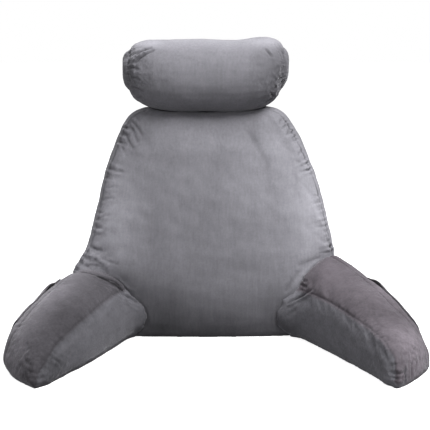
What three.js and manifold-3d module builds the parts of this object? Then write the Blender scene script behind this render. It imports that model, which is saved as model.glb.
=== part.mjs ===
// Reading pillow with arms: a wedge-shaped backrest, two splayed arm rests sewn to its front corners,
// a patch pocket on the outer side of each arm, and a neck roll resting on the backrest's top.
// Millimetres, +Z up, the sitter's side faces -Y and +X is on the right as seen from there.
// The tables are laid out from the middle of the front panel's bottom edge. The group is then moved
// so that the origin is the middle of the bounding box's bottom face.

import * as THREE from 'three';
import { mergeVertices } from 'three/addons/utils/BufferGeometryUtils.js';
import Module from 'manifold-3d';

const wasm = await Module();
wasm.setup();

// ---- driving dimensions ----

const SEAT_GAP = 0.3;            // clearance between two cloth pieces that touch
const HEM_LIFT = 6;              // height over which a piece rounds in to its flat base
const HEM_TUCK = 4;              // how far it rounds in there
const HEM_RING = 2.1;            // height of the ring that gives this rounding its shape
const CREASE_FADE = 0.5;         // share of its depth that a crease loses by its far end

// Backrest, a row per level. left and right: the front panel's side seams. front: how far back those
// seams lie. crown: how far the front panel swells out past them. rear: half the rear panel's width.
// back: how far back it lies.
const BACKREST_LEVELS = [
  { z: 0, left: -262, right: 226, front: 2, crown: 15, rear: 226, back: 196 },
  { z: 30, left: -274, right: 238, front: 2, crown: 24, rear: 234, back: 202 },
  { z: 70, left: -289, right: 248, front: 6, crown: 32, rear: 240, back: 207 },
  { z: 110, left: -306, right: 254, front: 12, crown: 37, rear: 243, back: 210 },
  { z: 140, left: -312, right: 258, front: 19, crown: 39, rear: 244, back: 211 },
  { z: 160, left: -301, right: 260, front: 23, crown: 40, rear: 244, back: 212 },
  { z: 182, left: -285, right: 259, front: 26, crown: 40, rear: 243, back: 212 },
  { z: 212, left: -271, right: 252, front: 31, crown: 40, rear: 241, back: 212 },
  { z: 260, left: -257, right: 241, front: 37, crown: 39, rear: 234, back: 211 },
  { z: 310, left: -246, right: 227, front: 45, crown: 37, rear: 222, back: 209 },
  { z: 345, left: -238, right: 216, front: 50, crown: 34, rear: 212, back: 207 },
  { z: 375, left: -229, right: 203, front: 54, crown: 31, rear: 202, back: 204 },
  { z: 400, left: -219, right: 192, front: 57, crown: 29, rear: 192, back: 202 },
  { z: 424, left: -209, right: 180, front: 61, crown: 25, rear: 181, back: 200 },
  { z: 446, left: -200, right: 167, front: 64, crown: 20, rear: 170, back: 197 },
  { z: 464, left: -190, right: 157, front: 67, crown: 15, rear: 160, back: 194 },
  { z: 476, left: -178, right: 148, front: 70, crown: 11, rear: 150, back: 190 },
  { z: 484, left: -163, right: 138, front: 74, crown: 7, rear: 138, back: 182 },
  { z: 490, left: -142, right: 117, front: 82, crown: 4, rear: 118, back: 171 },
  { z: 494, left: -96, right: 70, front: 98, crown: 1, rear: 76, back: 152 },
];
const REAR_MIDDLE = -11;         // where the middle of the rear panel lies
const RINGS_PER_ROW = 2;         // rings of a skin from one row of its table to the next
const FRONT_STEPS = 44;          // points across the front panel
const GUSSET_STEPS = 6;          // points across each side gusset
const REAR_STEPS = 14;           // points across the rear panel
const GUSSET_SWELL = 9;          // how far a side gusset swells outward
const REAR_SWELL = 16;           // how far the rear panel swells backward
const FULL_SWELL_WIDTH = 180;    // half-width of the rear panel from which the panels swell fully
const FULLNESS = 2.6;            // exponent of a filled panel: higher is flatter in the middle

// Hollow that the neck roll presses into the backrest's top.
const DIP = { x: -20, halfWidth: 118, depth: 11, from: 400, to: 494 };

// Creases of the backrest's front panel, each a groove between two points of that panel.
const BACKREST_CREASES = [
  { name: 'left shoulder upper', x0: -190, z0: 458, x1: -150, z1: 414, width: 9, depth: 5 },
  { name: 'left shoulder lower', x0: -206, z0: 426, x1: -178, z1: 384, width: 9, depth: 5 },
  { name: 'right shoulder upper', x0: 152, z0: 466, x1: 132, z1: 430, width: 9, depth: 5 },
  { name: 'right shoulder lower', x0: 176, z0: 424, x1: 156, z1: 388, width: 9, depth: 5 },
  { name: 'long diagonal', x0: 74, z0: 432, x1: 112, z1: 318, width: 14, depth: 4 },
  { name: 'left edge upper', x0: -240, z0: 344, x1: -210, z1: 340, width: 10, depth: 4 },
  { name: 'left edge lower', x0: -252, z0: 288, x1: -220, z1: 284, width: 10, depth: 4 },
  { name: 'above left arm, upper', x0: -282, z0: 188, x1: -230, z1: 170, width: 11, depth: 7 },
  { name: 'above left arm, lower', x0: -292, z0: 158, x1: -200, z1: 124, width: 12, depth: 8 },
  { name: 'above right arm', x0: 250, z0: 182, x1: 176, z1: 142, width: 12, depth: 6 },
];

// Arms, a row per section. s: distance along the arm from its root. The section's own axes are t,
// from the sitter's side outward, and z. base: t of the inner panel's bottom edge. swell: how far the
// inner panel swells toward the sitter. seam: height of the seam between the inner and top panels.
// crownT and crownZ: the top panel's highest point. outer: t of the outer panel. shoulder: height of
// the seam between the top and outer panels.
const ARM_ANGLE = THREE.MathUtils.degToRad(24.8);
const ARM_ROOT_X = 178;
const RIGHT_ARM = [
  { s: -90, base: 6, swell: 4, seam: 80, crownT: 34, crownZ: 118, outer: 56, shoulder: 70 },
  { s: -65, base: -22, swell: 22, seam: 94, crownT: 53, crownZ: 164, outer: 90, shoulder: 91 },
  { s: -40, base: -36, swell: 34, seam: 103, crownT: 68, crownZ: 181, outer: 111, shoulder: 105 },
  { s: -20, base: -36, swell: 38, seam: 106, crownT: 75, crownZ: 187, outer: 124, shoulder: 111 },
  { s: -5, base: -30, swell: 37, seam: 108, crownT: 78, crownZ: 187, outer: 132, shoulder: 112 },
  { s: 10, base: -20, swell: 32, seam: 109, crownT: 79, crownZ: 183, outer: 139, shoulder: 112 },
  { s: 25, base: -10, swell: 24, seam: 108, crownT: 78, crownZ: 177, outer: 143, shoulder: 110 },
  { s: 45, base: -8, swell: 17, seam: 107, crownT: 77, crownZ: 167, outer: 150, shoulder: 112 },
  { s: 75, base: -7, swell: 12, seam: 107, crownT: 75, crownZ: 157, outer: 150, shoulder: 105 },
  { s: 125, base: -5, swell: 10, seam: 106, crownT: 72, crownZ: 146, outer: 151, shoulder: 94 },
  { s: 175, base: -4, swell: 9, seam: 101, crownT: 70, crownZ: 136, outer: 152, shoulder: 81 },
  { s: 225, base: -3, swell: 8, seam: 94, crownT: 63, crownZ: 117, outer: 150, shoulder: 63 },
  { s: 262, base: -3, swell: 7, seam: 89, crownT: 55, crownZ: 103, outer: 144, shoulder: 47 },
  { s: 295, base: -4, swell: 6, seam: 84, crownT: 46, crownZ: 92, outer: 130, shoulder: 39 },
  { s: 320, base: -6, swell: 5, seam: 79, crownT: 37, crownZ: 84, outer: 108, shoulder: 32 },
  { s: 340, base: -8, swell: 4, seam: 70, crownT: 25, crownZ: 73, outer: 76, shoulder: 27 },
  { s: 353, base: -3, swell: 3, seam: 58, crownT: 15, crownZ: 60, outer: 48, shoulder: 23 },
  { s: 362, base: -3, swell: 2, seam: 42, crownT: 8, crownZ: 44, outer: 24, shoulder: 18 },
  { s: 367, base: -3, swell: 1, seam: 26, crownT: 3, crownZ: 28, outer: 9, shoulder: 13 },
];
const LEFT_ARM = [
  { s: -90, base: 6, swell: 4, seam: 70, crownT: 34, crownZ: 96, outer: 56, shoulder: 60 },
  { s: -65, base: -16, swell: 20, seam: 88, crownT: 55, crownZ: 121, outer: 91, shoulder: 79 },
  { s: -40, base: -27, swell: 34, seam: 98, crownT: 73, crownZ: 131, outer: 114, shoulder: 90 },
  { s: -20, base: -27, swell: 38, seam: 104, crownT: 83, crownZ: 139, outer: 131, shoulder: 99 },
  { s: -5, base: -20, swell: 38, seam: 107, crownT: 89, crownZ: 142, outer: 140, shoulder: 103 },
  { s: 10, base: -12, swell: 34, seam: 110, crownT: 92, crownZ: 145, outer: 147, shoulder: 106 },
  { s: 25, base: -5, swell: 27, seam: 112, crownT: 91, crownZ: 150, outer: 151, shoulder: 106 },
  { s: 45, base: -6, swell: 20, seam: 113, crownT: 86, crownZ: 153, outer: 154, shoulder: 109 },
  { s: 75, base: -8, swell: 14, seam: 114, crownT: 79, crownZ: 151, outer: 154, shoulder: 107 },
  { s: 125, base: -10, swell: 10, seam: 110, crownT: 74, crownZ: 146, outer: 154, shoulder: 96 },
  { s: 175, base: -11, swell: 8, seam: 102, crownT: 70, crownZ: 135, outer: 154, shoulder: 83 },
  { s: 225, base: -10, swell: 8, seam: 92, crownT: 65, crownZ: 119, outer: 152, shoulder: 68 },
  { s: 262, base: -7, swell: 7, seam: 81, crownT: 60, crownZ: 105, outer: 145, shoulder: 55 },
  { s: 292, base: -5, swell: 6, seam: 70, crownT: 52, crownZ: 92, outer: 131, shoulder: 47 },
  { s: 316, base: -4, swell: 5, seam: 57, crownT: 43, crownZ: 77, outer: 108, shoulder: 37 },
  { s: 335, base: -3, swell: 4, seam: 42, crownT: 33, crownZ: 60, outer: 80, shoulder: 28 },
  { s: 349, base: 3, swell: 3, seam: 32, crownT: 22, crownZ: 44, outer: 54, shoulder: 22 },
  { s: 359, base: 4, swell: 1, seam: 20, crownT: 13, crownZ: 29, outer: 30, shoulder: 15 },
  { s: 364, base: 5, swell: 0, seam: 10, crownT: 9, crownZ: 15, outer: 16, shoulder: 8 },
];
const FOOT_INSET = 4;            // how far the inner panel starts in from its table's base
const INNER_LEAN = 3;            // how far the inner panel leans outward by its top
const INNER_SEAM_INSET = 6;      // t of the inner seam beyond the table's base
const INNER_STEPS = 8;           // points up the inner panel
const TOP_STEPS = 12;            // points over the top panel
const OUTER_STEPS = 6;           // points down the outer panel
const ARM_BASE_STEPS = 4;        // points across the flat underside
const OUTER_BULGE = 0.04;        // share of an arm's width by which its outer panel swells
const OUTER_FLARE = 0.25;        // slope at which the top panel runs into the outer one
const SEAM_PINCH = 2.5;          // how far the inner panel dips in just under its top seam
const SEAM_PINCH_SHARPNESS = 6;  // exponent that keeps this dip close to the seam
const CROWN_RISE = { first: 0.1, steep: 0.55, flat: 0.5 };   // handles of the curve up to the crown
const CROWN_FALL = { flat: 0.52, steep: 0.42 };              // handles of the curve down from it
const SECTION_CENTRE = 0.45;     // height of a section's middle as a share of its crown's
const CROWN_CLEAR_OF = 480;      // level of the backrest above which no arm lies
const PANEL_LENGTH = 110;        // rough length of a panel round the section
const ROOT_TUCK = 9;             // how far an arm is drawn in where it is sewn to the backrest
const ROOT_TUCK_REACH = 14;      // distance over which that tuck fades out

// Toward its root an arm's top panel loses its roundness and rises in a straight slope to the crown.
// from and to: the stretch along the arm over which this grows. right and left: its final share,
// which is over 1 where the panel sinks below that slope.
const ROOT_SLOPE = { from: 40, to: -30, right: 1.15, left: 0.6 };

// Creases of the arms, each a groove between two points given by s and by the way round the section:
// 0 to 1 up the inner panel, 1 to 2 over the top panel, 2 to 3 down the outer panel.
const RIGHT_ARM_CREASES = [
  { name: 'root, under the seam', s0: 14, w0: 0.62, s1: 62, w1: 0.93, width: 8, depth: 5 },
  { name: 'tip, first gather', s0: 352, w0: 1.4, s1: 366, w1: 2.9, width: 7, depth: 6 },
  { name: 'tip, second gather', s0: 338, w0: 2.0, s1: 350, w1: 2.9, width: 8, depth: 5 },
  { name: 'tip, third gather', s0: 314, w0: 2.3, s1: 326, w1: 2.95, width: 9, depth: 4 },
];
const LEFT_ARM_CREASES = [
  { name: 'root, first', s0: 40, w0: 1.05, s1: 22, w1: 0.4, width: 7, depth: 4 },
  { name: 'root, second', s0: 62, w0: 0.95, s1: 36, w1: 0.35, width: 7, depth: 3.5 },
  { name: 'root, third', s0: 84, w0: 0.9, s1: 54, w1: 0.35, width: 8, depth: 3 },
  { name: 'tip, beside the seam', s0: 308, w0: 0.92, s1: 330, w1: 0.5, width: 8, depth: 5 },
  { name: 'tip, outer', s0: 320, w0: 1.7, s1: 348, w1: 2.5, width: 9, depth: 4 },
];

// Neck roll, a row per section along X. z: height of its middle. up, down: reach above and below it.
// front, back: reach toward and away from the sitter.
const ROLL_Y = 102;
const ROLL_SECTIONS = [
  { x: -199, z: 577, up: 13, down: 13, front: 13, back: 13 },
  { x: -196, z: 573, up: 30, down: 30, front: 33, back: 33 },
  { x: -187, z: 569, up: 47, down: 45, front: 50, back: 50 },
  { x: -171, z: 565, up: 61, down: 57, front: 63, back: 63 },
  { x: -148, z: 560, up: 73, down: 67, front: 74, back: 73 },
  { x: -118, z: 557, up: 77, down: 74, front: 80, back: 78 },
  { x: -70, z: 556, up: 79, down: 76, front: 82, back: 80 },
  { x: -15, z: 556, up: 79, down: 76, front: 83, back: 80 },
  { x: 40, z: 556, up: 79, down: 76, front: 82, back: 80 },
  { x: 80, z: 558, up: 79, down: 75, front: 80, back: 79 },
  { x: 108, z: 562, up: 76, down: 71, front: 77, back: 74 },
  { x: 130, z: 568, up: 66, down: 61, front: 67, back: 64 },
  { x: 146, z: 574, up: 51, down: 43, front: 50, back: 50 },
  { x: 155, z: 579, up: 33, down: 29, front: 33, back: 33 },
  { x: 158, z: 581, up: 13, down: 13, front: 13, back: 13 },
];
const ROLL_STEPS = 32;           // points round a section
const ROLL_SQUARENESS = 2.25;    // exponent of the section: 2 is an ellipse
const ROLL_SEAM_ANGLE = THREE.MathUtils.degToRad(108);   // from the sitter's side, over the top
const ROLL_SEAM_WIDTH = 9;
const ROLL_SEAM_DEPTH = 3;
const ROLL_LEAST_REACH = 0.4;    // share of its reach that a section keeps under any crease

// Seams between the roll's long panel and its two end panels, each a shallow groove round the section.
const ROLL_END_SEAMS = [-189, 149];
const ROLL_END_SEAM_WIDTH = 4;
const ROLL_END_SEAM_DEPTH = 3;

// Creases of the neck roll's ends, by x and by the angle round the section.
const ROLL_CREASES = [
  { name: 'left, upper', x0: -188, a0: 40, x1: -150, a1: 66, width: 8, depth: 6 },
  { name: 'left, lower', x0: -188, a0: -20, x1: -160, a1: -34, width: 8, depth: 4 },
  { name: 'right, upper', x0: 148, a0: 50, x1: 128, a1: 30, width: 8, depth: 4 },
  { name: 'right, lower', x0: 146, a0: -20, x1: 120, a1: -46, width: 8, depth: 4 },
];

// Pockets, patches on the outer sides of the arms. fromS and toS: the stretch along the arm, which
// ends at rings of its skin. first and last: the section's points that a pocket covers. cloth and hem:
// thickness of its cloth and of its upper hem. mouth: how far that hem stands off the arm.
const POCKET = { fromS: 100, toS: 243.5, first: 16, last: 25, cloth: 2.2, hem: 4.4, mouth: 3.2 };
const HEM_POINTS = 2;            // points down the pocket that its hem takes up
const MOUTH_POINTS = 3;          // points down the pocket over which it stands off the arm

const CLOTH = { color: 0x85848a, roughness: 0.92, metalness: 0.0 };
const POCKET_CLOTH = { color: 0x7b7a81, roughness: 0.92, metalness: 0.0 };

// ---- helpers ----

// Value of one column of a table at a place between its rows, on a smooth curve through them.
function column(table, key, name, at) {
  const last = table.length - 1;
  let i = 0;
  while (i < last - 1 && at > table[i + 1][key]) i += 1;
  const a = table[i];
  const b = table[i + 1];
  const before = table[Math.max(i - 1, 0)];
  const after = table[Math.min(i + 2, last)];
  const span = b[key] - a[key];
  const f = THREE.MathUtils.clamp((at - a[key]) / span, 0, 1);
  const slopeA = (b[name] - before[name]) / (b[key] - before[key]);
  const slopeB = (after[name] - a[name]) / (after[key] - a[key]);
  const f2 = f * f;
  const f3 = f2 * f;
  return (2 * f3 - 3 * f2 + 1) * a[name] + (f3 - 2 * f2 + f) * span * slopeA
    + (3 * f2 - 2 * f3) * b[name] + (f3 - f2) * span * slopeB;
}

// A whole row of a table at a place between its rows.
function rowAt(table, key, at) {
  const row = {};
  for (const name of Object.keys(table[0])) row[name] = column(table, key, name, at);
  row[key] = at;
  return row;
}

// Places for the rings of a skin: each row of its table and evenly between it and the next.
function stations(table, key) {
  const places = [table[0][key]];
  for (let i = 1; i < table.length; i += 1) {
    for (let j = 1; j <= RINGS_PER_ROW; j += 1) {
      places.push(THREE.MathUtils.lerp(table[i - 1][key], table[i][key], j / RINGS_PER_ROW));
    }
  }
  return places;
}

// Depth of the grooves at a point, each a smooth trough along a line from one point to another.
function grooves(creases, place) {
  let depth = 0;
  for (const crease of creases) {
    const { from, to } = crease;
    const along = new THREE.Vector2().subVectors(to, from);
    const f = THREE.MathUtils.clamp(
      new THREE.Vector2().subVectors(place, from).dot(along) / along.lengthSq(), 0, 1);
    const off = place.distanceTo(new THREE.Vector2().addVectors(from, along.multiplyScalar(f)));
    const fade = 1 - CREASE_FADE * f;
    depth += crease.depth * fade * Math.exp(-((off / crease.width) ** 2));
  }
  return depth;
}

// Sides of a skin over rings of equally many points. A lining splits its quads the other way, as the
// skin that it lies on is seen from its other side.
function sides(count, around, lining) {
  const index = [];
  for (let i = 0; i + 1 < count; i += 1) {
    for (let j = 0; j < around; j += 1) {
      const a = i * around + j;
      const b = i * around + ((j + 1) % around);
      const c = b + around;
      const d = a + around;
      if (lining) index.push(a, b, d, b, c, d);
      else index.push(a, b, c, a, c, d);
    }
  }
  return index;
}

function indexed(points, index) {
  const geometry = new THREE.BufferGeometry().setFromPoints(points);
  geometry.setIndex(index);
  geometry.computeVertexNormals();
  return geometry;
}

// Closed skin of a filled piece: its two end rings are closed by fans from their middles.
function skin(rings) {
  const around = rings[0].length;
  const points = rings.flat();
  const index = sides(rings.length, around, false);
  const middle = (ring) => ring.reduce((sum, p) => sum.add(p), new THREE.Vector3()).divideScalar(around);
  const first = points.push(middle(rings[0])) - 1;
  const last = points.push(middle(rings[rings.length - 1])) - 1;
  const top = (rings.length - 1) * around;
  for (let j = 0; j < around; j += 1) {
    const k = (j + 1) % around;
    index.push(first, k, j, last, top + j, top + k);
  }
  return indexed(points, index);
}

// Closed skin of a thin piece, whose rings run along its outer face and back along its inner one.
function thinSkin(rings) {
  const around = rings[0].length;
  const index = sides(rings.length, around, true);
  const top = (rings.length - 1) * around;
  for (let j = 0; j + 1 < around / 2; j += 1) {
    const c = around - 2 - j;
    const d = around - 1 - j;
    index.push(j, c, j + 1, j, d, c);
    index.push(top + j, top + j + 1, top + c, top + j, top + c, top + d);
  }
  return indexed(rings.flat(), index);
}

// The same skin pushed outward, used to cut a seat for it into a neighbour.
function swollen(geometry, by) {
  const grown = geometry.clone();
  const position = grown.attributes.position;
  const normal = grown.attributes.normal;
  for (let i = 0; i < position.count; i += 1) {
    position.setXYZ(
      i,
      position.getX(i) + by * normal.getX(i),
      position.getY(i) + by * normal.getY(i),
      position.getZ(i) + by * normal.getZ(i),
    );
  }
  return grown;
}

function toSolid(geometry) {
  const bare = geometry.clone();
  bare.deleteAttribute('normal');
  const merged = mergeVertices(bare, 1e-3);
  return new wasm.Manifold(new wasm.Mesh({
    numProp: 3,
    vertProperties: new Float32Array(merged.attributes.position.array),
    triVerts: new Uint32Array(merged.index.array),
  }));
}

function toGeometry(solid) {
  const mesh = solid.getMesh();
  const geometry = new THREE.BufferGeometry();
  geometry.setAttribute('position', new THREE.BufferAttribute(mesh.vertProperties, 3));
  geometry.setIndex(new THREE.BufferAttribute(mesh.triVerts, 1));
  geometry.computeVertexNormals();
  return geometry;
}

function piece(name, geometry, cloth) {
  const mesh = new THREE.Mesh(geometry, new THREE.MeshStandardMaterial(cloth));
  mesh.name = name;
  return mesh;
}

// Share of a panel's swell at a place 0 to 1 across it: none at its seams, full in the middle.
function fill(place) {
  return 1 - Math.abs(2 * place - 1) ** FULLNESS;
}

// Steps 0 to 1 that are closer together at both ends.
function crowded(i, steps) {
  const even = i / steps;
  return 0.5 * even + 0.25 * (1 - Math.cos(Math.PI * even));
}

// How far a piece rounds in toward its flat base at a height.
function hem(z) {
  return z < HEM_LIFT ? HEM_TUCK * (1 - Math.sqrt(1 - (1 - z / HEM_LIFT) ** 2)) : 0;
}

// ---- backrest ----

function backrestLevel(z) {
  const row = rowAt(BACKREST_LEVELS, 'z', z);
  const tuck = hem(z);
  row.left += tuck;
  row.right -= tuck;
  row.front += tuck;
  row.rear -= tuck;
  row.back -= tuck;
  return row;
}

function backrestCreases() {
  return BACKREST_CREASES.map((crease) => ({
    ...crease,
    from: new THREE.Vector2(crease.x0, crease.z0),
    to: new THREE.Vector2(crease.x1, crease.z1),
  }));
}

function dipAt(x, z) {
  const across = Math.exp(-(((x - DIP.x) / DIP.halfWidth) ** 4));
  const rise = THREE.MathUtils.clamp((z - DIP.from) / (DIP.to - DIP.from), 0, 1);
  return DIP.depth * across * rise;
}

function backrestRing(z, creases) {
  const row = backrestLevel(z);
  const share = Math.min(1, row.rear / FULL_SWELL_WIDTH);
  const sideSwell = GUSSET_SWELL * share;
  const rearLeft = REAR_MIDDLE - row.rear;
  const rearRight = REAR_MIDDLE + row.rear;
  const ring = [];
  for (let i = 0; i < FRONT_STEPS; i += 1) {
    const u = crowded(i, FRONT_STEPS);
    const x = THREE.MathUtils.lerp(row.left, row.right, u);
    const groove = grooves(creases, new THREE.Vector2(x, z));
    ring.push(new THREE.Vector3(x, row.front - row.crown * fill(u) + groove, z));
  }
  for (let i = 0; i < GUSSET_STEPS; i += 1) {
    const u = i / GUSSET_STEPS;
    const x = THREE.MathUtils.lerp(row.right, rearRight, u) + sideSwell * fill(u);
    ring.push(new THREE.Vector3(x, THREE.MathUtils.lerp(row.front, row.back, u), z));
  }
  for (let i = 0; i < REAR_STEPS; i += 1) {
    const u = i / REAR_STEPS;
    const x = THREE.MathUtils.lerp(rearRight, rearLeft, u);
    ring.push(new THREE.Vector3(x, row.back + REAR_SWELL * share * fill(u), z));
  }
  for (let i = 0; i < GUSSET_STEPS; i += 1) {
    const u = i / GUSSET_STEPS;
    const x = THREE.MathUtils.lerp(rearLeft, row.left, u) - sideSwell * fill(u);
    ring.push(new THREE.Vector3(x, THREE.MathUtils.lerp(row.back, row.front, u), z));
  }
  for (const point of ring) point.z -= dipAt(point.x, point.z);
  return ring;
}

function backrestGeometry() {
  const creases = backrestCreases();
  const levels = stations(BACKREST_LEVELS, 'z');
  levels.splice(1, 0, HEM_RING, HEM_LIFT);
  return skin(levels.map((z) => backrestRing(z, creases)));
}

// ---- arms ----

// Points of an arm's section in t and z, starting at the inner panel's bottom edge and going up it,
// over the top panel, down the outer panel and back across the flat base. rootSlope is the share of
// ROOT_SLOPE that the arm has at its root.
function armOutline(row, s, rootSlope) {
  const points = [];
  const foot = row.base + FOOT_INSET;
  for (let i = 0; i < INNER_STEPS; i += 1) {
    const v = i / INNER_STEPS;
    const z = row.seam * v;
    const drawn = hem(z) + INNER_LEAN * v + SEAM_PINCH * v ** SEAM_PINCH_SHARPNESS;
    points.push(new THREE.Vector2(foot - row.swell * fill(v) + drawn, z));
  }
  const seam = new THREE.Vector2(row.base + INNER_SEAM_INSET, row.seam);
  const crown = new THREE.Vector2(row.crownT, row.crownZ);
  const shoulder = new THREE.Vector2(row.outer * (1 - OUTER_BULGE), row.shoulder);
  const steep = new THREE.Vector2(
    THREE.MathUtils.lerp(seam.x, crown.x, CROWN_RISE.first),
    THREE.MathUtils.lerp(seam.y, crown.y, CROWN_RISE.steep),
  );
  const flat = new THREE.Vector2(THREE.MathUtils.lerp(seam.x, crown.x, CROWN_RISE.flat), crown.y);
  const straight = rootSlope * THREE.MathUtils.smoothstep(-s, -ROOT_SLOPE.from, -ROOT_SLOPE.to);
  const rise = new THREE.CubicBezierCurve(
    seam,
    steep.lerp(seam.clone().lerp(crown, 1 / 3), straight),
    flat.lerp(seam.clone().lerp(crown, 2 / 3), straight),
    crown,
  );
  const fallRise = CROWN_FALL.steep * (crown.y - shoulder.y);
  const fall = new THREE.CubicBezierCurve(
    crown,
    new THREE.Vector2(THREE.MathUtils.lerp(crown.x, shoulder.x, CROWN_FALL.flat), crown.y),
    new THREE.Vector2(shoulder.x - OUTER_FLARE * fallRise, shoulder.y + fallRise),
    shoulder,
  );
  const half = TOP_STEPS / 2;
  points.push(...rise.getPoints(half).slice(0, half));
  points.push(...fall.getPoints(half).slice(0, half));
  for (let i = 0; i <= OUTER_STEPS; i += 1) {
    const v = i / OUTER_STEPS;
    const z = row.shoulder * (1 - v);
    const bulge = OUTER_BULGE * row.outer * Math.sin(Math.PI * v);
    points.push(new THREE.Vector2(shoulder.x + bulge - hem(z), z));
  }
  const last = points[points.length - 1];
  for (let i = 1; i < ARM_BASE_STEPS; i += 1) {
    points.push(new THREE.Vector2(THREE.MathUtils.lerp(last.x, points[0].x, i / ARM_BASE_STEPS), 0));
  }
  return points;
}

// How far round the section the point with a given number lies: panels count 1 each.
function wayRound(i) {
  if (i <= INNER_STEPS) return i / INNER_STEPS;
  if (i <= INNER_STEPS + TOP_STEPS) return 1 + (i - INNER_STEPS) / TOP_STEPS;
  return 2 + (i - INNER_STEPS - TOP_STEPS) / OUTER_STEPS;
}

// Creases with their ends in millimetres along the arm and round its section.
function armCreases(creases) {
  return creases.map((crease) => ({
    ...crease,
    from: new THREE.Vector2(crease.s0, crease.w0 * PANEL_LENGTH),
    to: new THREE.Vector2(crease.s1, crease.w1 * PANEL_LENGTH),
  }));
}

// Where a section's own t and z lie in the pillow's frame, on the side given by 1 or -1.
function armPoint(side, s, t, z) {
  const x = ARM_ROOT_X + s * Math.sin(ARM_ANGLE) + t * Math.cos(ARM_ANGLE);
  const y = -s * Math.cos(ARM_ANGLE) + t * Math.sin(ARM_ANGLE);
  return new THREE.Vector3(side * x, y, z);
}

// How far in front of the backrest's front panel a point lies.
function beforeBackrest(point) {
  const row = backrestLevel(THREE.MathUtils.clamp(point.z, HEM_LIFT, CROWN_CLEAR_OF));
  const u = THREE.MathUtils.clamp((point.x - row.left) / (row.right - row.left), 0, 1);
  return row.front - row.crown * fill(u) - point.y;
}

// Points of an arm's skin at a distance along it, each with its outward direction in the section.
function armSection(side, table, creases, s) {
  const row = rowAt(table, 's', s);
  const outline = armOutline(row, s, side > 0 ? ROOT_SLOPE.right : ROOT_SLOPE.left);
  const centre = new THREE.Vector2((row.base + row.outer) / 2, row.crownZ * SECTION_CENTRE);
  const count = outline.length;
  return outline.map((point, i) => {
    const next = outline[(i + 1) % count];
    const before = outline[(i + count - 1) % count];
    const out = new THREE.Vector2(before.y - next.y, next.x - before.x).normalize();
    const onBase = i >= INNER_STEPS + TOP_STEPS + OUTER_STEPS || i === 0;
    if (onBase) return { place: point, out };
    const groove = grooves(creases, new THREE.Vector2(s, wayRound(i) * PANEL_LENGTH));
    const clear = Math.max(0, beforeBackrest(armPoint(side, s, point.x, point.y)));
    const tuck = ROOT_TUCK * Math.exp(-clear / ROOT_TUCK_REACH);
    const toCentre = new THREE.Vector2().subVectors(centre, point).normalize();
    const place = point.clone().addScaledVector(out, -groove).addScaledVector(toCentre, tuck);
    place.y = Math.max(0, place.y);
    return { place, out };
  });
}

// Closes a section's points into a ring whose skin faces outward on either side.
function armLoop(side, s, places) {
  const ring = places.map((place) => armPoint(side, s, place.x, place.y));
  return side > 0 ? ring.reverse() : ring;
}

function armRing(side, table, creases, s) {
  return armLoop(side, s, armSection(side, table, creases, s).map(({ place }) => place));
}

function armGeometry(side, table, creaseTable) {
  const creases = armCreases(creaseTable);
  return skin(stations(table, 's').map((s) => armRing(side, table, creases, s)));
}

// ---- neck roll ----

function rollCreases() {
  return ROLL_CREASES.map((crease) => ({
    ...crease,
    from: new THREE.Vector2(crease.x0, crease.a0),
    to: new THREE.Vector2(crease.x1, crease.a1),
  }));
}

function rollRing(x, creases) {
  const row = rowAt(ROLL_SECTIONS, 'x', x);
  const toSeam = Math.min(...ROLL_END_SEAMS.map((at) => Math.abs(x - at)));
  const endSeam = ROLL_END_SEAM_DEPTH * Math.exp(-((toSeam / ROLL_END_SEAM_WIDTH) ** 2));
  const ring = [];
  for (let i = 0; i < ROLL_STEPS; i += 1) {
    const angle = (i / ROLL_STEPS) * 2 * Math.PI;
    const c = Math.cos(angle);
    const d = Math.sin(angle);
    const size = (Math.abs(c) ** ROLL_SQUARENESS + Math.abs(d) ** ROLL_SQUARENESS) ** (-1 / ROLL_SQUARENESS);
    const reachY = c > 0 ? row.front : row.back;
    const reachZ = d > 0 ? row.up : row.down;
    const degrees = THREE.MathUtils.radToDeg(angle > Math.PI ? angle - 2 * Math.PI : angle);
    const groove = grooves(creases, new THREE.Vector2(x, degrees));
    const offSeam = (angle - ROLL_SEAM_ANGLE) * row.up;
    const seam = ROLL_SEAM_DEPTH * Math.exp(-((offSeam / ROLL_SEAM_WIDTH) ** 2));
    const drawn = 1 - (groove + seam + endSeam) / row.up;
    const reach = size * Math.max(ROLL_LEAST_REACH, drawn);
    ring.push(new THREE.Vector3(x, ROLL_Y - c * reachY * reach, row.z + d * reachZ * reach));
  }
  return ring.reverse();
}

function rollGeometry() {
  const creases = rollCreases();
  return skin(stations(ROLL_SECTIONS, 'x').map((x) => rollRing(x, creases)));
}

// ---- pockets ----

// A patch that follows the arm's outer side, with a thicker upper hem that stands a little open.
function pocketGeometry(side, table, creaseTable) {
  const creases = armCreases(creaseTable);
  const { fromS, toS, first, last } = POCKET;
  const places = stations(table, 's').filter((s) => s >= fromS && s <= toS);
  return thinSkin(places.map((s) => {
    const covered = armSection(side, table, creases, s).slice(first, last + 1);
    const along = (s - fromS) / (toS - fromS);
    const inner = [];
    const outer = [];
    covered.forEach(({ place, out }, j) => {
      const open = POCKET.mouth * fill(along) * Math.max(0, 1 - j / MOUTH_POINTS);
      const thick = j < HEM_POINTS ? POCKET.hem : POCKET.cloth;
      inner.push(place.clone().addScaledVector(out, SEAT_GAP + open));
      outer.push(place.clone().addScaledVector(out, SEAT_GAP + open + thick));
    });
    return armLoop(side, s, [...outer, ...inner.reverse()]);
  }));
}

// ---- assembly ----

const backrest = backrestGeometry();
const seatCutter = toSolid(swollen(backrest, SEAT_GAP));
const neckRoll = toSolid(rollGeometry()).subtract(seatCutter);
const armRight = toSolid(armGeometry(1, RIGHT_ARM, RIGHT_ARM_CREASES)).subtract(seatCutter);
const armLeft = toSolid(armGeometry(-1, LEFT_ARM, LEFT_ARM_CREASES)).subtract(seatCutter);

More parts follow.
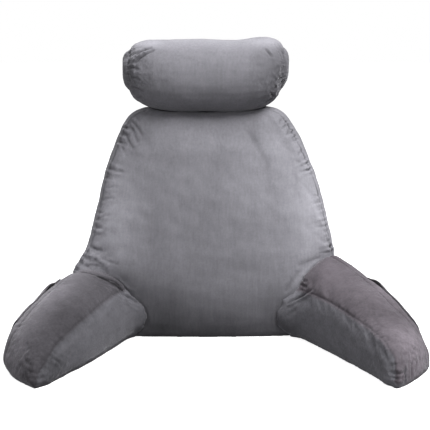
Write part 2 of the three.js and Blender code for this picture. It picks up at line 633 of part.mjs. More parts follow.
const pillow = new THREE.Group();
pillow.add(
  piece('backrest', backrest, CLOTH),
  piece('arm_right', toGeometry(armRight), CLOTH),
  piece('arm_left', toGeometry(armLeft), CLOTH),
  piece('neck_roll', toGeometry(neckRoll), CLOTH),
  piece('pocket_right', pocketGeometry(1, RIGHT_ARM, RIGHT_ARM_CREASES), POCKET_CLOTH),
  piece('pocket_left', pocketGeometry(-1, LEFT_ARM, LEFT_ARM_CREASES), POCKET_CLOTH),
);

const bounds = new THREE.Box3().setFromObject(pillow);
const middle = bounds.getCenter(new THREE.Vector3());
pillow.position.set(-middle.x, -middle.y, -bounds.min.z);

export default pillow;
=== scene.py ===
# %% [markdown]
# # A reading pillow with arms
# The real pillow is a velour cover, sewn from panels and filled with shredded foam: a wedge-shaped
# back, two arms that reach forward, a pocket on each arm and a loose neck roll on top. The plain
# solids have the right size and place, and this lesson makes each one into filled cloth: a fine
# surface, a little pressure, seams that pull in, and folds.

# %% Load the solids
import math
import bpy
import numpy as np
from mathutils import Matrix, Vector
from mathutils.bvhtree import BVHTree


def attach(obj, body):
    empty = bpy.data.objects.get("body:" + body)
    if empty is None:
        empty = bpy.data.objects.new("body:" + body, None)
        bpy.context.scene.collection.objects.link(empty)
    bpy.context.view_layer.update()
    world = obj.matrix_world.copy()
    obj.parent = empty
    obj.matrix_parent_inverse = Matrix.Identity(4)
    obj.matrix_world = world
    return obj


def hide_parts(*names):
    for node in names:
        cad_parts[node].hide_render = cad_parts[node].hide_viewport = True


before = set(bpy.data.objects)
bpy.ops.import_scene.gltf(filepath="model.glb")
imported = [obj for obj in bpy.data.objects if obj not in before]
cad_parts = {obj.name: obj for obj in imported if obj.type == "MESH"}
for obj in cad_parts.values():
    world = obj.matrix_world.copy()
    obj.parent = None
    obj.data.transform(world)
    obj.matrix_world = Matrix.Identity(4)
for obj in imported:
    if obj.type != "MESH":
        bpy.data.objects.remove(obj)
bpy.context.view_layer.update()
MM = 0.001
scene = bpy.context.scene
print("solids:", sorted(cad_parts))

# %% [markdown]
# ## A fine, even surface for each filled piece
# Cloth can't fold where its mesh has no points. A solid has large, uneven triangles, so a copy of it
# is wrapped in a skin of small, equal squares (a voxel remesh). Subdividing the solid would keep its
# long triangles, which show as streaks under soft light.

# %% Copy and remesh
def finished_mesh(piece):
    """The piece's mesh with its modifiers worked in, as plain data."""
    bpy.context.view_layer.update()
    seen = piece.evaluated_get(bpy.context.evaluated_depsgraph_get())
    return bpy.data.meshes.new_from_object(seen)


def bake(piece):
    """Works the piece's modifiers in and removes them."""
    mesh = finished_mesh(piece)
    piece.modifiers.clear()
    piece.data = mesh


def put_in_scene(name, data):
    made = bpy.data.objects.new(name, data)
    scene.collection.objects.link(made)
    return made


def fine_copy(node, voxel):
    piece = put_in_scene("filled_" + node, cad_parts[node].data.copy())
    weld = piece.modifiers.new("weld", "WELD")
    weld.merge_threshold = 0.01 * MM
    remesh = piece.modifiers.new("skin", "REMESH")
    remesh.mode = "VOXEL"
    remesh.voxel_size = voxel * MM
    remesh.use_smooth_shade = True
    bake(piece)
    print(piece.name, "has", len(piece.data.polygons), "faces of about", voxel, "mm")
    return piece


def read(items, field, width=1, kind=np.float64):
    """One field of all the items, such as the places of a mesh's points, as an array."""
    out = np.empty(len(items) * width, kind)
    items.foreach_get(field, out)
    return out.reshape(-1, width) if width > 1 else out


def read_points(piece):
    return read(piece.data.vertices, "co", 3)


def write_points(piece, points):
    piece.data.vertices.foreach_set("co", np.ravel(points))
    piece.data.update()


def read_normals(piece):
    return read(piece.data.vertex_normals, "vector", 3)


# %% [markdown]
# ## Unevenness that is the same every time
# No sewn thing repeats exactly. A sum of a few waves with different lengths and directions gives
# smooth, uneven values, and a fixed seed gives the same ones on every run.

# %% Smooth uneven values
def uneven(places, wave, seed, count=18):
    """Values of about -1 to 1 at places given in metres, with bumps about wave millimetres across."""
    rng = np.random.default_rng(seed)
    places = np.atleast_2d(places.T).T
    ways = rng.normal(size=(count, places.shape[1]))
    ways /= np.linalg.norm(ways, axis=1, keepdims=True)
    lengths = wave * MM * rng.uniform(0.7, 1.8, count)
    phase = rng.uniform(0, 2 * math.pi, count)
    return np.sin(places @ (ways / lengths[:, None] * 2 * math.pi).T + phase).sum(1) / math.sqrt(count)


def varied(places, middle, change, wave, seed):
    """Uneven values that leave their middle by about this change."""
    return middle + change * uneven(places, wave, seed)


def smooth(value, low, high):
    t = np.clip((value - low) / (high - low), 0, 1)
    return t * t * (3 - 2 * t)


def fade(off, reach, power=2):
    """1 where off is 0, falling to 0 beyond a reach in millimetres, more suddenly with more power."""
    return np.exp(-(off / (reach * MM)) ** power)


# %% [markdown]
# ## Where the panels are sewn together
# A seam is a line on the cover, so it is a path of points. Rows give it roughly, in millimetres, and
# each point then drops onto the nearest place on the surface. The later steps need two things from
# it: how far a point of the cloth is from the seam, and how far along it that is.

# %% Paths on a surface
def surface_of(piece):
    mesh = piece.data
    return BVHTree.FromPolygons([v.co for v in mesh.vertices], [p.vertices[:] for p in mesh.polygons])


def curve_through(rows, spacing=2.0):
    """Evenly spaced points, in metres, on a smooth curve through rows of x, y and z in millimetres."""
    rows = np.array(rows, float)
    ends = np.vstack([2 * rows[0] - rows[1], rows, 2 * rows[-1] - rows[-2]])
    fine = []
    for a, b, c, d in zip(ends, ends[1:], ends[2:], ends[3:]):
        t = np.linspace(0, 1, 16, endpoint=False)[:, None]
        fine.append(0.5 * (2 * b + (c - a) * t + (2 * a - 5 * b + 4 * c - d) * t ** 2
                           + (3 * b - a - 3 * c + d) * t ** 3))
    fine = np.vstack(fine + [rows[-1:]])
    along = np.concatenate([[0], np.cumsum(np.linalg.norm(np.diff(fine, axis=0), axis=1))])
    places = np.linspace(0, along[-1], max(3, int(along[-1] / spacing)))
    return np.stack([np.interp(places, along, fine[:, k]) for k in range(3)], 1) * MM


def laid_on(surface, path):
    return np.array([surface.find_nearest(Vector(p))[0] for p in path])


def from_path(points, path):
    """Distance from each point to the path, and the place along it, both in metres."""
    along = np.concatenate([[0], np.cumsum(np.linalg.norm(np.diff(path, axis=0), axis=1))])
    nearest = np.full(len(points), 9.0)
    where = np.zeros(len(points))
    starts, steps = path[:-1], np.diff(path, axis=0)
    lengths = np.maximum((steps ** 2).sum(1), 1e-12)
    for a, step, long2, at in zip(starts, steps, lengths, along):
        t = np.clip(((points - a) @ step) / long2, 0, 1)
        off = np.linalg.norm(points - a - t[:, None] * step, axis=1)
        closer = off < nearest
        nearest[closer] = off[closer]
        where[closer] = at + t[closer] * math.sqrt(long2)
    return nearest, where


# %% [markdown]
# The back is cut as a front panel, two side strips and a rear panel, so it has four seams from the
# base to the top. Each row here is one level of the back, and a seam takes its x and y from two of
# the columns.

# %% Seams of the back
BACK_LEVELS = [
    # z, left, right, front, rear left, rear right, back
    (6, -262, 224, 55, -234, 210, 246),
    (40, -279, 240, 55, -248, 224, 256),
    (80, -294, 249, 60, -253, 229, 260),
    (120, -309, 255, 66, -255, 232, 263),
    (145, -303, 258, 71, -256, 232, 264),
    (165, -288, 258, 77, -256, 232, 264),
    (195, -274, 255, 81, -254, 230, 264),
    (245, -257, 243, 87, -248, 224, 264),
    (300, -249, 229, 96, -236, 213, 262),
    (350, -237, 213, 103, -222, 199, 259),
    (400, -220, 191, 109, -204, 180, 254),
    (430, -207, 176, 114, -190, 166, 252),
    (455, -196, 161, 118, -177, 154, 248),
    (475, -180, 148, 122, -163, 139, 243),
    (488, -153, 127, 131, -139, 116, 228),
]
BACK_COLUMNS = {"front left": (1, 3), "front right": (2, 3), "rear left": (4, 6), "rear right": (5, 6)}
back_seams = {name: [(row[x], row[y], row[0]) for row in BACK_LEVELS]
              for name, (x, y) in BACK_COLUMNS.items()}
print("seams of the back:", sorted(back_seams))

# %% [markdown]
# An arm is cut as an inner panel, a top panel that also goes over its end, and an outer panel. Its
# seams are given in the arm's own directions: s along it, t outward from the sitter, and z up.

# %% Seams of the arms
ARM_SPLAY = math.radians(24.8)
ARM_ROOT = (178, 52.4)
ARM_MIDDLE = 0.1
SIDES = {"arm_right": 1, "arm_left": -1}
ARM_INNER_SEAMS = {
    # s, t, z
    "arm_right": [
        (20, -3, 107), (45, 3, 107), (90, 6, 107), (135, 7, 105), (180, 8, 100), (225, 9, 94),
        (262, 9, 89), (295, 8, 84), (320, 6, 79), (340, 4, 70), (353, 3, 58), (360, 3, 40),
        (363, 3, 12),
    ],
    "arm_left": [
        (34, 5, 110), (60, 5, 113), (90, 4, 113), (135, 2, 109), (180, 1, 101), (225, 2, 92),
        (262, 5, 81), (295, 7, 69), (320, 8, 54), (340, 9, 39), (353, 9, 28), (360, 10, 16),
        (362, 10, 6),
    ],
}
ARM_OUTER_SEAMS = {
    "arm_right": [
        (8, 68, 176), (35, 77, 169), (67, 86, 158), (100, 91, 149), (135, 93, 141), (180, 93, 130),
        (215, 97, 116), (245, 103, 98), (270, 112, 68), (288, 118, 36), (296, 120, 12),
    ],
    "arm_left": [
        (20, 108, 138), (60, 109, 143), (105, 106, 141), (144, 101, 137), (165, 104, 129),
        (186, 107, 121), (225, 108, 106), (256, 109, 93), (280, 112, 74), (297, 117, 38),
        (303, 118, 12),
    ],
}


def arm_place(side, s, t, z):
    """x, y and z in millimetres of a place given in an arm's own directions; side is 1 or -1."""
    x = ARM_ROOT[0] + s * math.sin(ARM_SPLAY) + t * math.cos(ARM_SPLAY)
    y = ARM_ROOT[1] - s * math.cos(ARM_SPLAY) + t * math.sin(ARM_SPLAY)
    return side * x + ARM_MIDDLE, y, z


def arm_seams(name):
    return {seam: [arm_place(SIDES[name], *row) for row in rows[name]]
            for seam, rows in (("inner", ARM_INNER_SEAMS), ("outer", ARM_OUTER_SEAMS))}


# %% [markdown]
# The neck roll is one long panel, closed by a seam behind its top, with a round panel at each end.

# %% Seams of the neck roll
ROLL_MIDDLE = (154.4, 557)
ROLL_END_SEAMS = (-189, 148)
ROLL_END_RADIUS = 50
ROLL_END_RISE = 14


def ring_round_roll(x):
    y, z = ROLL_MIDDLE[0], ROLL_MIDDLE[1] + ROLL_END_RISE
    turns = [i / 16 * 2 * math.pi for i in range(17)]
    return [(x, y - ROLL_END_RADIUS * math.cos(a), z + ROLL_END_RADIUS * math.sin(a)) for a in turns]


roll_seams = {
    "left end": ring_round_roll(ROLL_END_SEAMS[0]),
    "right end": ring_round_roll(ROLL_END_SEAMS[1]),
    "long": [(-180, 166, 628), (-150, 170, 634), (-112, 178, 636), (-70, 188, 630), (0, 190, 628),
             (60, 188, 630), (95, 178, 636), (128, 168, 634), (146, 164, 626)],
}
print("seams of the neck roll:", sorted(roll_seams))

# %% [markdown]
# ## Pressure inside, seams that pull in
# Filling pushes a cover outward, and a seam's tight thread makes it shorter than the cloth beside it.
# Blender's cloth simulation makes both: pressure swells the skin, and the weights of a vertex group
# shrink it along the seams, which draws small puckers out of the cloth beside them. Only that fine
# part of the movement is kept, because the solid already has the true outline. It is weaker away
# from the seams, it is capped, and it is held back where the piece rests or touches its neighbour.
# The seams pull unevenly: PULL is a middle, a change, a length in millimetres and a seed.

# %% Fill a piece
NEIGHBOUR_GAP = 0.6
PRESSURE = 4.0
SEAM_SHRINK = 0.16
CLOTH_EASE = 0.02
FRAMES = 20
BROAD_KEPT = 0.15
BROAD_ROUNDS = 30
OPEN_CLOTH = 0.08
SEAM_REACH = 22
SHRUNK_REACH = 9
PULL = (0.75, 0.25, 40, 11)
CLOTH_SETTINGS = {"quality": 5, "mass": 0.25, "tension_stiffness": 18, "compression_stiffness": 18,
                  "shear_stiffness": 6, "bending_stiffness": 0.25, "use_pressure": True,
                  "uniform_pressure_force": PRESSURE, "vertex_group_mass": "held",
                  "vertex_group_shrink": "seams", "shrink_min": -CLOTH_EASE, "shrink_max": SEAM_SHRINK}


def room_beside(points, nodes):
    """Distance in metres from each point to the nearest of the named solids."""
    room = np.full(len(points), 1.0)
    for node in nodes:
        surface = surface_of(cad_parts[node])
        for i, p in enumerate(points):
            hit = surface.find_nearest(Vector(p), 0.05)
            if hit[0] is not None:
                room[i] = min(room[i], hit[3])
    return room


def weigh(piece, name, weights):
    group = piece.vertex_groups.new(name=name)
    for i, w in enumerate(weights):
        if w > 0.004:
            group.add([i], float(w), "REPLACE")


def spread(piece, values, rounds):
    """The values' broad part: they are averaged over each point's neighbours, again and again."""
    a, b = read(piece.data.edges, "vertices", 2, np.int32).T
    count = len(values)
    joined = np.bincount(a, minlength=count) + np.bincount(b, minlength=count) + 1.0
    for _ in range(rounds):
        columns = [v + np.bincount(a, v[b], count) + np.bincount(b, v[a], count) for v in values.T]
        values = np.stack(columns, 1) / joined[:, None]
    return values


def fill_with_pressure(piece, seams, puckers, room, cap):
    start = read_points(piece)
    tight = np.zeros(len(start))
    nearest = np.full(len(start), 1.0)
    for name, path in seams.items():
        off, along = from_path(start, path)
        pull = puckers[name][4] * varied(along, *PULL)
        tight = np.maximum(tight, pull * fade(off, SHRUNK_REACH))
        nearest = np.minimum(nearest, off)
    weigh(piece, "seams", np.clip(tight, 0, 1))
    held = np.maximum(1 - smooth(start[:, 2], 2 * MM, 14 * MM), 1 - smooth(room, 1 * MM, 12 * MM))
    weigh(piece, "held", held)
    cloth = piece.modifiers.new("filling", "CLOTH")
    for setting, value in CLOTH_SETTINGS.items():
        setattr(cloth.settings, setting, value)
    cloth.settings.effector_weights.gravity = 0
    for number in range(1, FRAMES + 1):
        scene.frame_set(number)
    settled = finished_mesh(piece)
    step = read(settled.vertices, "co", 3) - start
    bpy.data.meshes.remove(settled)
    piece.modifiers.clear()
    piece.vertex_groups.clear()
    scene.frame_set(1)
    step -= (1 - BROAD_KEPT) * spread(piece, step, BROAD_ROUNDS)
    step *= (OPEN_CLOTH + (1 - OPEN_CLOTH) * fade(nearest, SEAM_REACH))[:, None]
    length = np.linalg.norm(step, axis=1)
    limit = np.minimum(cap * MM, np.maximum(0.7 * (room - NEIGHBOUR_GAP * MM), 0))
    kept = limit * np.tanh(length / np.maximum(limit, 1e-7))
    write_points(piece, start + step * (kept / np.maximum(length, 1e-9))[:, None])
    print(piece.name, "settled by up to", round(float(kept.max()) / MM, 1), "mm")


# %% [markdown]
# ## Folds that are always there
# Some folds come from how the pillow is cut and carried, and they stay: the gathers at the shoulders,
# the crease at each arm's root, the tucks at the arms' ends. A row is one fold: an end, its middle,
# its other end, its width and its depth in millimetres. It is a groove with a low ridge on both
# sides, as the cloth that sinks in has to come from somewhere. A depth below 0 makes it a ridge.

# %% Folds, a row each
BACK_FOLDS = [
    # left shoulder
    ((-182, 119, 462), (-169, 111, 450), (-158, 104, 433), 4, 2.2),
    ((-189, 120, 455), (-177, 109, 440), (-168, 101, 419), 4, 2.2),
    ((-199, 115, 439), (-190, 106, 424), (-179, 100, 406), 4, 2.0),
    ((-208, 113, 417), (-201, 105, 405), (-192, 98, 389), 4, 1.2),
    ((-173, 121, 475), (-171, 118, 470), (-166, 115, 465), 4, 1.6),  # left hook
    # right shoulder
    ((148, 118, 472), (144, 115, 465), (140, 112, 456), 4, 2.2),
    ((156, 118, 464), (152, 114, 456), (147, 110, 447), 4, 2.2),
    ((166, 117, 449), (160, 112, 443), (155, 106, 435), 4, 2.0),
    ((188, 109, 400), (183, 104, 394), (177, 99, 388), 4, 1.6),
    ((70, 100, 440), (84, 94, 420), (96, 88, 398), 9, 0.8),  # long diagonal, upper
    ((96, 88, 398), (108, 82, 376), (113, 76, 336), 9, 0.5),  # long diagonal, lower
    ((172, 92, 359), (175, 84, 322), (176, 74, 285), 10, 0.5),  # right, upright
    # left edge
    ((-228, 102, 353), (-214, 96, 355), (-201, 92, 355), 4, 1.3),
    ((-239, 96, 319), (-226, 92, 322), (-214, 89, 323), 4, 0.9),
    ((-248, 96, 293), (-234, 90, 297), (-219, 85, 299), 4, 1.2),
    ((-254, 87, 255), (-240, 83, 259), (-227, 79, 263), 4, 1.2),
    ((-263, 82, 216), (-252, 78, 221), (-242, 75, 225), 4, 1.2),
    ((-274, 81, 193), (-260, 75, 189), (-247, 70, 187), 4, 2.4),
    # left, low
    ((-280, 76, 173), (-264, 69, 168), (-246, 62, 164), 4, 1.8),
    ((-282, 76, 164), (-256, 64, 162), (-235, 55, 150), 4, 2.0),
    ((-271, 69, 156), (-251, 61, 153), (-231, 53, 141), 4, 1.6),
    ((-249, 66, 171), (-231, 57, 165), (-213, 51, 161), 4, 1.4),
    ((-212, 50, 133), (-194, 39, 115), (-173, 34, 105), 4, -1.2),  # beside the left arm
    ((238, 74, 170), (212, 64, 166), (184, 55, 158), 6, 1.2),  # above right arm, upper
    ((183, 53, 142), (166, 44, 126), (153, 38, 106), 8, 1.6),  # above right arm, lower
    # right gather
    ((248, 80, 204), (253, 81, 188), (257, 77, 174), 4, 2.6),
    ((241, 80, 215), (247, 79, 200), (251, 81, 184), 4, 1.8),
]
ROLL_FOLDS = [
    ((-178, 100, 590), (-163, 96, 600), (-149, 97, 609), 4, -3.0),  # left ridge
    ((-170, 100, 600), (-157, 102, 611), (-137, 103, 617), 5, 4.2),  # left, above the ridge
    ((-169, 94, 587), (-149, 93, 604), (-131, 96, 613), 5, 3.8),  # left, below the ridge
    # left gather
    ((-186, 106, 576), (-173, 94, 577), (-162, 87, 573), 4, 2.2),
    ((-183, 104, 557), (-171, 92, 556), (-160, 86, 552), 4, 2.0),
    ((-177, 105, 536), (-165, 97, 534), (-155, 92, 528), 4, 2.0),
    ((-168, 110, 514), (-165, 108, 513), (-158, 102, 517), 4, 2.2),
    ((-183, 120, 601), (-187, 112, 589), (-188, 109, 576), 4, 1.8),
    ((106, 95, 614), (112, 91, 608), (118, 89, 600), 4, 3.0),  # right diagonal
    # right line
    ((133, 122, 626), (145, 120, 609), (149, 113, 567), 4, 2.0),
    ((126, 113, 624), (141, 105, 600), (142, 100, 568), 4, 1.2),
    ((124, 86, 550), (131, 100, 536), (127, 108, 519), 4, -1.6),  # right ridge
    # right, lower
    ((117, 93, 524), (121, 101, 520), (125, 109, 516), 4, 2.4),
    ((110, 105, 506), (118, 112, 510), (126, 120, 514), 4, 2.4),
    ((87, 114, 492), (95, 113, 495), (104, 117, 496), 3, 1.6),  # right, lowest
]
RIGHT_ARM_FOLDS = [
    ((156, 27, 80), (179, 22, 94), (203, 4, 114), 4, 3.4),  # root, under the ridge
    ((158, 26, 76), (181, 19, 90), (206, -5, 112), 4, -2.4),  # root ridge
    ((151, 23, 52), (162, 20, 61), (174, 16, 70), 6, 1.4),  # root, lower
    ((180, 44, 118), (187, 35, 117), (195, 23, 115), 4, 2.6),  # knot of the seam
    ((185, 46, 127), (190, 38, 125), (197, 28, 126), 4, 1.8),  # above the knot
    # tip
    ((350, -261, 34), (351, -264, 20), (351, -265, 7), 4, 3.6),
    ((366, -245, 38), (366, -248, 24), (366, -250, 10), 4, 2.4),
    ((379, -229, 40), (377, -234, 30), (374, -240, 20), 4, 1.8),
    ((334, -277, 34), (335, -278, 22), (335, -279, 9), 4, 1.8),
    ((323, -253, 64), (326, -261, 59), (329, -269, 54), 5, 1.6),
    ((322, -218, 86), (324, -226, 84), (326, -234, 81), 3, 1.6),  # tuft of the seam
    ((303, -201, 81), (308, -202, 86), (313, -203, 90), 4, 1.6),  # beside the seam
]
LEFT_ARM_FOLDS = [
    ((-288, 26, 151), (-239, 6, 146), (-196, 30, 113), 5, 2.6),  # root, under the back
    ((-230, 4, 141), (-211, 9, 128), (-195, 30, 111), 7, 3.5),  # root, deep end
    # root line
    ((-267, 0, 149), (-235, -13, 139), (-202, 14, 117), 4, -1.8),
    ((-234, -22, 136), (-218, -16, 127), (-205, -1, 115), 4, -1.6),
    ((-202, 7, 114), (-186, 24, 98), (-168, 28, 85), 4, -2.4),
    ((-199, 4, 109), (-184, 22, 94), (-165, 27, 80), 4, 2.4),
    ((-210, -21, 114), (-193, 2, 96), (-173, 21, 76), 4, -1.6),
    ((-199, -7, 96), (-185, 4, 84), (-168, 22, 66), 4, -1.4),
    ((-318, -228, 48), (-312, -224, 41), (-306, -220, 33), 5, 2.0),  # tip, beside the seam
    # tip
    ((-363, -240, 46), (-355, -249, 43), (-347, -257, 40), 5, 1.4),
    ((-355, -256, 32), (-347, -262, 30), (-338, -267, 28), 5, 1.6),
    ((-342, -272, 18), (-334, -264, 18), (-326, -254, 18), 5, 2.0),
    ((-322, -247, 13), (-317, -244, 11), (-312, -241, 9), 5, 1.6),
]

# %% [markdown]
# The back leans over the left arm's root and keeps the light from a wedge of it. That shadow is
# painted in: the pile there is coloured nearly black, and a lighter painted shade marks the right
# arm's knot. These rows have a path, a width and an amount.

# %% Painted shadows
PAINTED_SHADOWS = {
    "arm_left": [
        ("under the back", (-284, 14, 151), (-242, 3, 146), (-197, 27, 112), 3.0, 0.9),
        ("wedge", (-246, 0, 145), (-222, -3, 134), (-200, 18, 112), 6.5, 1.0),
    ],
    "arm_right": [("knot", (188, 38, 120), (192, 32, 118), (198, 24, 117), 3.0, 0.5)],
}

# %% [markdown]
# Seams pucker more in some places than in others, and at the arms' tips the pile stands in tufts.
# These rows say where.

# %% Gathered and tufted places
GATHERED = {
    # name, x, y, z, reach, how much more the seams pucker
    "backrest": [("right shoulder", 165, 108, 445, 55, 0.9), ("right root", 253, 80, 195, 32, 1.2),
                 ("left shoulder", -195, 110, 430, 50, 0.3), ("left foot", -288, 75, 162, 36, 0.6)],
    "arm_right": [("tip", 352, -262, 20, 45, 1.0), ("knot", 187, 35, 117, 24, 0.8)],
    "arm_left": [("tip", -340, -262, 20, 45, 0.8), ("root", -195, 25, 105, 30, 0.5)],
    "neck_roll": [("upper left", -178, 110, 600, 30, 0.4), ("lower right", 122, 105, 515, 30, 0.5)],
}
TUFTED = {
    # name, x, y, z, reach, amount
    "backrest": [("left foot", -262, 68, 162, 34, 0.8), ("right root", 195, 56, 140, 26, 0.5)],
    "arm_right": [("tip", 375, -225, 50, 75, 1.0), ("outer edge", 345, -120, 110, 60, 0.5),
                  ("root", 200, 25, 130, 34, 0.5), ("seam", 290, -170, 92, 34, 0.5)],
    "arm_left": [("tip", -345, -240, 30, 70, 1.0), ("root", -215, -5, 120, 36, 0.4)],
    "neck_roll": [("left end", -174, 100, 560, 46, 1.0), ("right end", 130, 100, 545, 46, 0.9)],
}
CRINKLE = 0.6


def near(points, x, y, z, *reach):
    """1 at a place in millimetres, falling to 0 beyond its reach, which may differ in x, y and z."""
    off = (points / MM - (x, y, z)) / np.array(reach, float)
    return np.exp(-(off ** 2).sum(1))


def at_places(points, rows):
    return sum(amount * near(points, x, y, z, reach) for _, x, y, z, reach, amount in rows)


# %% [markdown]
# Between the named folds the seams still pucker, unevenly, and the cloth lies in low, broad waves
# over its filling. `tailor` adds all of it along the surface's own direction. It also keeps an
# attribute of painted shade, by which the colour darkens later: in folds, in seam grooves, in the
# dimples between puckers and where the piece touches its neighbour. A wave or a crinkle is a height
# and a length in millimetres and a seed, and what varies, like PULL above, has its middle before them.

# %% Seams, puckers, folds and waves
GROOVE_WIDTH = 2.6
SEAM_LINE = 1.9
PILE_HEIGHT = 1.2
WAVES = ((1.1, 105, 3), (0.3, 34, 4))
CRINKLES = ((1.0, 9, 41), (0.8, 16, 42))
RIPPLES = ((1.0, 1.0, 22), (0.6, 0.55, 23))  # height and length as shares of the seam's, and a seed
PUCKER_STRENGTH = (0.6, 0.55, 70, 21)
SEAM_SHADE = (0.8, 0.3, 60, 24)
FOLD_WIDTH = (1, 0.18, 12, 31)
FOOT_WAVE = 1.1
FOOT_CHANGE = (0.6, 1, 60, 7)
CONTACT_SHADE = (0.12, 0.95)
CONTACT_LOW, CONTACT_HIGH = 200, 440
CONTACT_REACH = 5
LINE_SHADE = 0.32
DIMPLE_SHADE = 0.5
DARK_DEPTH = 5


def note(piece, name, values):
    """Keeps a value for each point of a piece, which its material reads."""
    kept = piece.data.attributes.new(name, "FLOAT", "POINT")
    kept.data.foreach_set("value", np.asarray(values, np.float32))


def tailor(node, piece, seams, room):
    *_, puckers, folds = FILLED[node]
    points, normals = read_points(piece), read_normals(piece)
    surface = surface_of(piece)
    free = smooth(points[:, 2], 1 * MM, 16 * MM)
    gathered = 1 + at_places(points, GATHERED[node])
    tufted = np.clip(at_places(points, TUFTED[node]), 0, 1)
    out = PILE_HEIGHT + sum(varied(points, 0, *wave) for wave in WAVES)
    out += CRINKLE * tufted * sum(varied(points, 0, *wave) for wave in CRINKLES)
    # Painted shade where the piece touches its neighbour, weak low down and strong higher up.
    low, high = CONTACT_SHADE
    crease = low + (high - low) * smooth(points[:, 2], CONTACT_LOW * MM, CONTACT_HIGH * MM)
    crease *= 1 - smooth(room, 1.5 * MM, CONTACT_REACH * MM)
    for name, path in seams.items():
        groove, height, length, reach, _ = puckers[name]
        off, along = from_path(points, path)
        strength = np.clip(varied(along, *PUCKER_STRENGTH), 0.1, 1.6) * gathered
        ripple = sum(varied(along, 0, high, share * length, seed) for high, share, seed in RIPPLES)
        out += height * strength * ripple * fade(off, reach, 1)
        out -= groove * fade(off, GROOVE_WIDTH)
        # Painted shade in the seam's groove and in the dimples between puckers.
        line = LINE_SHADE * groove * fade(off, SEAM_LINE)
        crease = np.maximum(crease, line * np.clip(varied(along, *SEAM_SHADE), 0.3, 1.2))
        dimple = np.clip(-ripple * strength, 0, 1) * fade(off, 0.5 * reach, 1)
        crease = np.maximum(crease, DIMPLE_SHADE * dimple)
    for *rows, width, depth in folds:
        path = laid_on(surface, curve_through(rows, 3.0))
        off, along = from_path(points, path)
        middle = along / max(along.max(), 1e-6)
        off = off * varied(along, *FOLD_WIDTH) / (width * MM)
        deep = depth * (0.45 + 0.55 * np.sin(math.pi * np.clip(middle, 0.08, 0.92)))
        out -= deep * (1 - 1.1 * off ** 2) * np.exp(-off ** 2)
        # Painted shade in the fold's groove.
        crease = np.maximum(crease, np.clip(deep / DARK_DEPTH, 0, 1) * np.exp(-(1.6 * off) ** 2))
    # Painted shadow and shade along each row's path.
    for name, *rows, width, amount in PAINTED_SHADOWS.get(node, []):
        off, _ = from_path(points, laid_on(surface, curve_through(rows, 3.0)))
        crease = np.maximum(crease, amount * fade(off, width, 4))
    out *= free * MM
    out = np.minimum(out, np.maximum(room - NEIGHBOUR_GAP * MM, 0))
    sideways = normals * (1, 1, 0)
    foot = FOOT_WAVE * MM * (1 - free) * varied(points[:, :2], *FOOT_CHANGE) * (room > 12 * MM)
    points = points + normals * out[:, None] + sideways * foot[:, None]
    write_points(piece, points)
    note(piece, "crease", np.clip(crease, 0, 1))
    note(piece, "tufted", tufted)
    low, high = out.min() / MM, out.max() / MM
    print(piece.name, "folded by", round(float(low), 1), "to", round(float(high), 1), "mm")


def settle_on_base(piece):
    """Presses the underside flat, where the piece stands."""
    points, normals = read_points(piece), read_normals(piece)
    under = (points[:, 2] < 3 * MM) & (normals[:, 2] < -0.7)
    points[under, 2] = 0
    points[:, 2] = np.maximum(points[:, 2], 0)
    write_points(piece, points)


def shade_smooth(piece):
    for face in piece.data.polygons:
        face.use_smooth = True


def make_finer(piece):
    finer = piece.modifiers.new("finer", "SUBSURF")
    finer.levels = finer.render_levels = 1
    bake(piece)
    shade_smooth(piece)


# %% [markdown]
# ## The four filled pieces
# Each piece goes through the same steps: a fine copy, pressure, one subdivision, then folds. What
# differs is in one row: the size of its mesh, its neighbours, its seams and how they pucker.

# %% Make the filled pieces
FILLED = {
    # node: voxel in mm, cap in mm, neighbours, seams,
    # puckers (groove, height, length and reach in mm, share of the shrinking), folds
    "backrest": (6.25, 4, ["arm_right", "arm_left", "neck_roll"], back_seams, {
        "front left": (1.6, 1.2, 13, 15, 0.9), "front right": (2.4, 1.6, 10, 12, 1.0),
        "rear left": (1.8, 1.0, 16, 16, 0.8), "rear right": (1.8, 1.0, 16, 16, 0.8)}, BACK_FOLDS),
    "arm_right": (5.0, 2.5, ["backrest"], arm_seams("arm_right"), {
        "inner": (1.5, 0.6, 12, 11, 0.35), "outer": (2.2, 0.9, 11, 10, 0.5)}, RIGHT_ARM_FOLDS),
    "arm_left": (5.0, 2.5, ["backrest"], arm_seams("arm_left"), {
        "inner": (1.0, 0.6, 13, 11, 0.4), "outer": (2.2, 0.9, 12, 10, 0.5)}, LEFT_ARM_FOLDS),
    "neck_roll": (4.6, 3.5, ["backrest"], roll_seams, {
        "left end": (0.8, 1.9, 10, 18, 0.9), "right end": (1.0, 1.6, 9, 15, 0.9),
        "long": (1.6, 0.6, 14, 8, 0.15)}, ROLL_FOLDS),
}


def lay(piece, paths):
    surface = surface_of(piece)
    return {name: laid_on(surface, path) for name, path in paths.items()}


def make_filled(node):
    voxel, cap, beside, seam_rows, puckers, _ = FILLED[node]
    piece = fine_copy(node, voxel)
    seams = lay(piece, {name: curve_through(rows) for name, rows in seam_rows.items()})
    room = room_beside(read_points(piece), beside)
    fill_with_pressure(piece, seams, puckers, room, cap)
    make_finer(piece)
    seams = lay(piece, seams)
    tailor(node, piece, seams, room_beside(read_points(piece), beside))
    settle_on_base(piece)
    return piece


filled = {node: make_filled(node) for node in FILLED}
